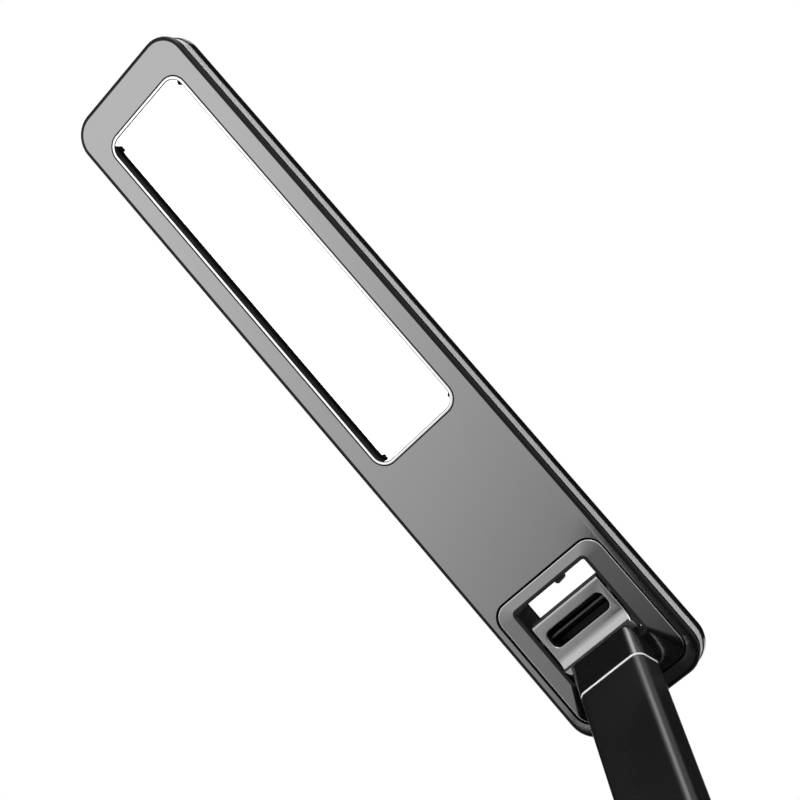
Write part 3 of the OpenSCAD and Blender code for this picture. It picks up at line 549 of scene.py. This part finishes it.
# %% Side band
BAND_INSET = 0.5
band_profile = [(BAND_INSET + EASE, BAND_Z), (BAND_INSET, BAND_Z + EASE),
                (BAND_INSET, BACK_Z - EASE), (BAND_INSET + EASE, BACK_Z),
                (SHELL_WALL, BACK_Z), (SHELL_WALL, BAND_Z)]
build("side_band", "head",
      [surface(carried(HEAD_OUTLINE, band_profile), closed=True)], TO_HEAD, (band_silver,))

# %% [markdown]
# ## The light window
# A bezel stands a little proud of the face and holds the diffuser from behind with its flange. Its
# front is plated, with a painted glow that makes it brighter. Inside, its two long walls and a
# narrow foot on the diffuser are painted black, a painted dark reflection, and its short walls are
# painted a glowing white, painted light. So seen from one side the window has a dark band along it
# that stops at the corners. A small black clip sits in each corner. The two kinds of wall are one
# grid whose quads are sorted by the direction their column faces.


# %% Window bezel
def sorted_walls(path, profile, limit, along, across):
    """A carried surface whose columns facing along the path's second direction get one finish, and
    those whose outward direction has a first number beyond the limit get another."""
    points, corners, _look = surface(carried(path, profile))
    facing = np.abs(path[1][:, 0] + np.roll(path[1][:, 0], -1)) / 2
    long_side = np.tile(facing > limit, len(profile) - 1)
    return [(points, corners[long_side], across), (points, corners[~long_side], along)]


BEZEL_WALL, FOOT_WIDTH, FLANGE = 1.4, 2.5, -2
PROUD_Z, DIFFUSER_Z = FACE_Z - 0.2, 0.6
CLIP_RADIUS, CLIP_X, CLIP_Y = 0.9, 20.4, 88.6
window_outline = rounded_rectangle(47.0, 186.7, 7.0, WINDOW_MID)
bezel_front = [(1.0, PROUD_Z), (0.3, PROUD_Z), (0.09, PROUD_Z + 0.08), (0, FACE_Z + 0.1)]
bezel_back = [(0, FACE_Z + 0.1), (0, INNER_Z), (FLANGE, INNER_Z), (FLANGE, -1.1), (0, -1.1),
              (0, DIFFUSER_Z), (BEZEL_WALL, DIFFUSER_Z)]
bezel_inner = [(FOOT_WIDTH, DIFFUSER_Z - 0.01), (FOOT_WIDTH, DIFFUSER_Z - 0.2),
               (BEZEL_WALL, DIFFUSER_Z - 0.2), (BEZEL_WALL, FACE_Z + EASE)]
bezel_line = [(BEZEL_WALL, FACE_Z + EASE), (1.3, PROUD_Z + 0.08), (1.0, PROUD_Z)]
# The long walls take the black, a painted dark reflection, and the short walls the glowing white,
# painted light.
bezel_parts = [
    surface(carried(window_outline, bezel_front)),
    surface(carried(window_outline, bezel_back), look=1),
    surface(carried(window_outline, bezel_line), look=1),
] + sorted_walls(window_outline, bezel_inner, 0.6, 2, 1)
for side in (-1, 1):
    for end in (-1, 1):
        corner = circle(CLIP_RADIUS, (side * CLIP_X, WINDOW_MID[1] + end * CLIP_Y), 12)
        bezel_parts += plug(corner, -DIFFUSER_Z, DIFFUSER_Z, 1)
build("window_bezel", "head", bezel_parts, TO_HEAD, (plated_with_painted_glow, deep_black_and_painted_reflection, opal))

# %% [markdown]
# ## The hinge surround
# A shallow raised frame round the opening: its outline at the face is large and its upper edge
# small, and they don't share a centre. So its rows are different paths with the same number of
# points, and the slope between them is straight. The top of the slope, the crest, the nub and the
# tunnel through the head are painted black, a painted shade in the opening, and the frame's foot is
# painted a pale metal, a painted highlight.

# %% Hinge surround
FRAME_CORNER, CREST_CORNER = 7.0, 2.0
RIM_Z, CREST_Z = FACE_Z + 0.3, FACE_Z - 0.9
FRAME_BACK_Z, TUNNEL_Z, FOOT_ROUND = -1.6, 10.6, 0.4
frame_low = rounded_rectangle(57.2, 60.7, FRAME_CORNER, FRAME_MID)
frame_high = rounded_rectangle(40.9, 39.0, CREST_CORNER, HINGE_MID)
tunnel_back = rounded_rectangle(41.9, 40.0, CREST_CORNER, HINGE_MID)
hinge_opening = rounded_rectangle(38.9, 37.0, 1.0, HINGE_MID)
frame_foot = carried(frame_low, [(FOOT_ROUND, RIM_Z)])
# From this row inwards the surround is painted black, a painted shade at the opening's edge.
crest_rim = carried(frame_high, [(-0.6, CREST_Z + 0.08)])
slope_rows = [(1 - s) * frame_foot + s * crest_rim for s in (0.0, 0.05, 0.95, 1.0)]
outer_edge = carried(frame_low, [(0, FRAME_BACK_Z)]
                     + quarter(FOOT_ROUND, RIM_Z + FOOT_ROUND, FOOT_ROUND, 180, 4))
tunnel_rows = np.concatenate([
    crest_rim,
    carried(frame_high, [(0, CREST_Z)]),
    carried(hinge_opening, [(-0.35, CREST_Z), (-0.1, CREST_Z + 0.1), (0, CREST_Z + 0.35),
                            (0, TUNNEL_Z)]),
    carried(tunnel_back, [(0, TUNNEL_Z), (0, FRAME_BACK_Z)]),
    carried(frame_low, [(0, FRAME_BACK_Z)]),
])
NUB_RADIUS, NUB_AT, NUB_ENDS = 1.6, (4.7, -17.2), (-4.2, 2.8)
nub = circle(NUB_RADIUS, NUB_AT)
build("hinge_surround", "head", [
    surface(np.concatenate(slope_rows)),
    surface(tunnel_rows, look=1),
    surface(outer_edge, look=2),
] + plug(nub, *NUB_ENDS, 1), TO_HEAD, (surround_grey, inner_black_and_painted_shade, foot_painted_highlight))

# %% [markdown]
# ## The knuckles
# A knuckle is one side view pushed across the lamp: a round barrel on the shaft, a flat, and a
# hollow blend that runs up into the neck. Across the flat lies a slot, its walls and floor painted
# black, a painted shade. In the side view the first number is forward and the second is along the
# arm, away from the shaft.

# %% Side view of a knuckle
SLANT_DEGREES = 48.6
SLANT = math.radians(SLANT_DEGREES)
ALONG = np.array((-math.sin(SLANT), math.cos(SLANT)))
RISE = np.array((math.cos(SLANT), math.sin(SLANT)))
BARREL, FLAT_RISE, BLEND = 9.5, 4.6, 7.6
FLAT_FROM, FLAT_TO = -7.3, 7.689
KNUCKLE_HALF, KNUCKLE_EDGE = 18.45, 0.5
BARREL_ARC = (190.3, 342.0)


def arc(centre, radius, start, stop, steps):
    """Points of an arc: the centre plus the radius times the direction of each angle, in degrees."""
    angle = np.radians(np.linspace(start, stop, steps))
    return np.array(centre) + radius * np.column_stack((np.cos(angle), np.sin(angle)))


def soft_corner(first, corner, last, steps=6):
    """Points of a soft corner: the corner weighs 2t(1-t), its ends the squares of 1-t and t."""
    t = np.linspace(0.0, 1.0, steps)[:, None]
    return (1 - t) ** 2 * first + 2 * t * (1 - t) * corner + t ** 2 * last


barrel = arc((0, 0), BARREL, *BARREL_ARC, 26)
edge = FLAT_RISE * RISE - math.sqrt(BARREL ** 2 - FLAT_RISE ** 2) * ALONG
lip = soft_corner(barrel[-1], edge, FLAT_FROM * ALONG + FLAT_RISE * RISE)
hollow_mid = FLAT_TO * ALONG + (FLAT_RISE + BLEND) * RISE
hollow = arc(hollow_mid, BLEND, 180.0 + SLANT_DEGREES, 180.0, 12)
tail = np.array([(-5.6, 14.236), (-12.0, 14.236), (-12.246, 14.1)])
side_view = np.concatenate((barrel, lip[1:], hollow, tail))
flat_column = len(barrel) + len(lip) - 2
ahead = np.roll(side_view, -1, axis=0) - np.roll(side_view, 1, axis=0)
ahead /= np.linalg.norm(ahead, axis=1)[:, None]
side_out = np.column_stack((ahead[:, 1], -ahead[:, 0]))
print("side view of a knuckle:", len(side_view), "points")

# %% [markdown]
# The side view becomes a grid like the others. The one strip of quads that lies on the flat is
# left out of it, and a sheet with the slot's outline cut from it takes its place.


# %% Knuckle parts
def from_side(points):
    """Forward, along and across become across, backwards and along."""
    return np.column_stack((points[:, 2], -points[:, 0], points[:, 1]))


def from_flat(points):
    """Across, along the flat and above it become across, backwards and along the arm."""
    side = points[:, 1:2] * ALONG + (FLAT_RISE + points[:, 2:3]) * RISE
    return np.column_stack((points[:, 0], -side[:, 0], side[:, 1]))


ARM_SETBACK = 13.25
SLOT_DEPTH, SLOT_EDGE = 9.2, 0.45
TONGUE_ENDS, SPIGOT_ENDS = (12.3, 27.0), (26.4, 53.4)
slot_path = rounded_rectangle(31.2, 8.3, 3.0, (0, 0.65))
slot_edge = [(-SLOT_EDGE, 0), (-0.2, -0.06), (-0.06, -0.2), (0, -SLOT_EDGE)]
tongue_path = rounded_rectangle(26.0, 3.3, 0.3, (0, 8.9))
spigot_path = rounded_rectangle(29.8, 12.0, 2.5, (0, ARM_SETBACK))


def knuckle_parts():
    """The barrel with its flat and hollow, the slot, and the tongue and spigot for the arm."""
    inner = KNUCKLE_HALF - KNUCKLE_EDGE
    left = quarter(KNUCKLE_EDGE, -inner, KNUCKLE_EDGE, 180, 4)[::-1]
    profile = left + [(inset, -height) for inset, height in left[::-1]]
    grid = carried((side_view, side_out), profile)
    points, corners, _look = surface(grid)
    middle = (len(left) - 1) * len(side_view) + flat_column
    body = (points, np.delete(corners, middle, axis=0), 0)
    ends = [sheet([grid[row, :, :2]], grid[row, 0, 2]) for row in (0, -1)]
    border = np.array([(-inner, FLAT_FROM), (inner, FLAT_FROM),
                       (inner, FLAT_TO), (-inner, FLAT_TO)])
    flat = [sheet([border, slot_path[0] + SLOT_EDGE * slot_path[1]], 0.0),
            surface(carried(slot_path, slot_edge)),
            # The slot's walls and floor take the black: a painted shade in the slot.
            surface(carried(slot_path, [(0, -SLOT_EDGE), (0, -SLOT_DEPTH)]), look=1),
            sheet([slot_path[0]], -SLOT_DEPTH, 1)]
    return ([moved(part, from_side) for part in [body] + ends]
            + [moved(part, from_flat) for part in flat]
            + plug(tongue_path, *TONGUE_ENDS, 1) + plug(spigot_path, *SPIGOT_ENDS, 1))


# %% Both knuckles
UPSIDE_DOWN = Matrix.Diagonal((1, 1, -1, 1))
HEAD_END_PLACE = Matrix.Translation(HEAD_SHAFT) @ UPSIDE_DOWN
BASE_END_PLACE = Matrix.Translation((0, 0, 0.035))
for name, place in (("head_knuckle", HEAD_END_PLACE), ("base_knuckle", BASE_END_PLACE)):
    build(name, "arm", knuckle_parts(), place, (cast_grey, inner_black_and_painted_shade))

# %% [markdown]
# ## The arm
# A flat aluminium tube with round edges, anodised black. The saw cut at each end is turned to a
# bright chamfer. Four screws sit in its back, in round pockets.

# %% Arm tube
ARM_WIDTH, ARM_DEPTH, ARM_CORNER, ARM_WALL = 33.7, 15.9, 4.5, 1.8
ARM_LOW, ARM_HIGH, ARM_BACK, CUT = 64.4, 395.6, 21.2, 0.45
SCREW_RADIUS, SCREW_SEAT, SCREW_HEIGHTS = 2.45, 20.2, (72.4, 83.4, 376.6, 387.6)
BACK_HALF = ARM_WIDTH / 2 - ARM_CORNER
arm_outline = rounded_rectangle(ARM_WIDTH, ARM_DEPTH, ARM_CORNER, (0, ARM_SETBACK))
arm_points, arm_corners, _look = surface(
    carried(arm_outline, [(0, ARM_LOW + CUT), (0, ARM_HIGH - CUT)]))
screw_paths = [circle(SCREW_RADIUS, (0, z)) for z in SCREW_HEIGHTS]
back_border = np.array([(-BACK_HALF, ARM_LOW + CUT), (BACK_HALF, ARM_LOW + CUT),
                        (BACK_HALF, ARM_HIGH - CUT), (-BACK_HALF, ARM_HIGH - CUT)])
back_flat = [sheet([back_border] + [points for points, _outward in screw_paths], ARM_BACK)]
for path in screw_paths:
    back_flat.append(surface(carried(path, [(0, ARM_BACK), (0, SCREW_SEAT)])))
    back_flat.append(sheet([path[0]], SCREW_SEAT))
arm_parts = [
    (arm_points, np.delete(arm_corners, CORNER_STEPS - 1, axis=0), 0),
    surface(carried(arm_outline, [(0, ARM_HIGH - CUT), (CUT, ARM_HIGH), (ARM_WALL, ARM_HIGH)]),
            look=1),
    surface(carried(arm_outline, [(0, ARM_LOW + CUT), (CUT, ARM_LOW), (ARM_WALL, ARM_LOW)]),
            look=1),
    surface(carried(arm_outline, [(ARM_WALL, ARM_HIGH), (ARM_WALL, ARM_LOW)])),
] + [moved(part, lambda points: points[:, (0, 2, 1)]) for part in back_flat]
build("arm_tube", "arm", arm_parts, Matrix.Identity(4),
      (anodised_black, cut_edge_and_painted_highlight))

# %% [markdown]
# ## Dressed copies
# The other pieces come from the construction program as loose triangles. Each visible one is
# copied, its triangles are merged, edges up to 35 degrees are shaded smooth, and a Weighted Normal
# modifier keeps large flat faces flat.


# %% Dress a node
def dress(node, body, material):
    """A merged, smoothly shaded copy of a node that stands for it and moves with its body."""
    mesh = nodes[node].data.copy()
    mesh.name = node + "_dressed"
    mesh.materials.clear()
    mesh.materials.append(material)
    return finish_mesh(mesh, node + "_dressed", node, body)


print("shaped so far:", len(dressed))

# %% [markdown]
# ## The neck covers
# Where a neck cover meets the tube, a fine bright line runs round the arm. It is the cover's rim,
# cut to a slope that is steeper than it is wide, so that it mirrors the far, bright part of the
# floor, and painted a pale metal on the black cover, a painted highlight. The copy is cut across
# just above its rim, and the rim's outer points move inwards.

# %% Bright rims
RIM_INSET, RIM_HEIGHT = 0.3, 0.6
RIM_SHARP = math.radians(20)
CORE_X = BACK_HALF * MM
CORE_LOW_Y, CORE_HIGH_Y = ((ARM_SETBACK + side * (ARM_DEPTH / 2 - ARM_CORNER)) * MM
                           for side in (-1, 1))


def cut_rim(piece, toward):
    """Turns a neck cover's rim to a slope, at its lower end for -1 and its upper end for 1."""
    shape = bmesh.new()
    shape.from_mesh(piece.data)
    heights = [vertex.co.z for vertex in shape.verts]
    end = min(heights) if toward < 0 else max(heights)
    start = end - toward * RIM_HEIGHT * MM
    bmesh.ops.bisect_plane(shape, geom=shape.verts[:] + shape.edges[:] + shape.faces[:],
                           plane_co=(0, 0, start), plane_no=(0, 0, 1), dist=1e-7)
    for vertex in shape.verts:
        core = Vector((min(max(vertex.co.x, -CORE_X), CORE_X),
                       min(max(vertex.co.y, CORE_LOW_Y), CORE_HIGH_Y)))
        out = vertex.co.xy - core
        if abs(vertex.co.z - end) < 1e-6 and abs(out.length - ARM_CORNER * MM) < 2e-5:
            vertex.co.xy -= out.normalized() * RIM_INSET * MM
    # The rim's outward faces take the pale finish, a painted highlight on the black cover.
    for face in shape.faces:
        middle = face.calc_center_median()
        out = middle.xy - Vector((0, ARM_SETBACK * MM))
        on_rim = (middle.z - start) * toward > 0 and abs(face.normal.z) < 0.9
        if on_rim and face.normal.xy.dot(out) > 0:
            face.material_index = 1
    shape.to_mesh(piece.data)
    shape.free()
    piece.data.materials.append(cut_edge_and_painted_highlight)
    piece.data.set_sharp_from_angle(angle=RIM_SHARP)


cut_rim(dress("head_neck_cover", "arm", neck_black), -1)
cut_rim(dress("base_neck_cover", "arm", neck_black), 1)
print("with the neck covers:", len(dressed))

# %% The other dressed pieces
dress("back_shell", "head", piano_black)
dress("yoke", "turret", cast_grey)
dress("turntable", "turret", surround_grey)
dress("yoke_caps", "turret", piano_black)
dress("base_cover", "base", piano_black)
for key in ("power_key", "dimmer_down_key", "dimmer_up_key"):
    dress(key, key, key_black)
print("shaped and dressed:", len(dressed))

# %% [markdown]
# ## The pieces that keep their own mesh
# Screws, washers, boards and the like are hardly seen. Their solids are right as they are, so they
# only get a finish, put into the node's own material slots.

# %% Finish the rest
KEPT = {
    opal: ("diffuser",),
    board_white: ("reflector_frame", "light_board"),
    phosphor: ("light_chips",),
    bright_steel: ("hinge_brackets", "head_hinge_nut", "head_inner_screws", "arm_screws",
                   "base_hinge_nut", "swivel_nut", "base_screws"),
    dark_steel: ("head_hinge_shaft", "base_hinge_shaft", "head_screws", "yoke_screws",
                 "ballast_plate"),
    dark_bronze: ("head_hinge_washers", "base_hinge_washers", "swivel_washer"),
    wire_red: ("arm_wires",),
    key_black: ("base_plate", "key_switches", "power_inlet"),
    pad_rubber: ("non_slip_pad",),
    laminate: ("control_board",),
}
for material, names in KEPT.items():
    for name in names:
        nodes[name].data.materials.clear()
        nodes[name].data.materials.append(material)
print("kept nodes:", sum(len(names) for names in KEPT.values()))
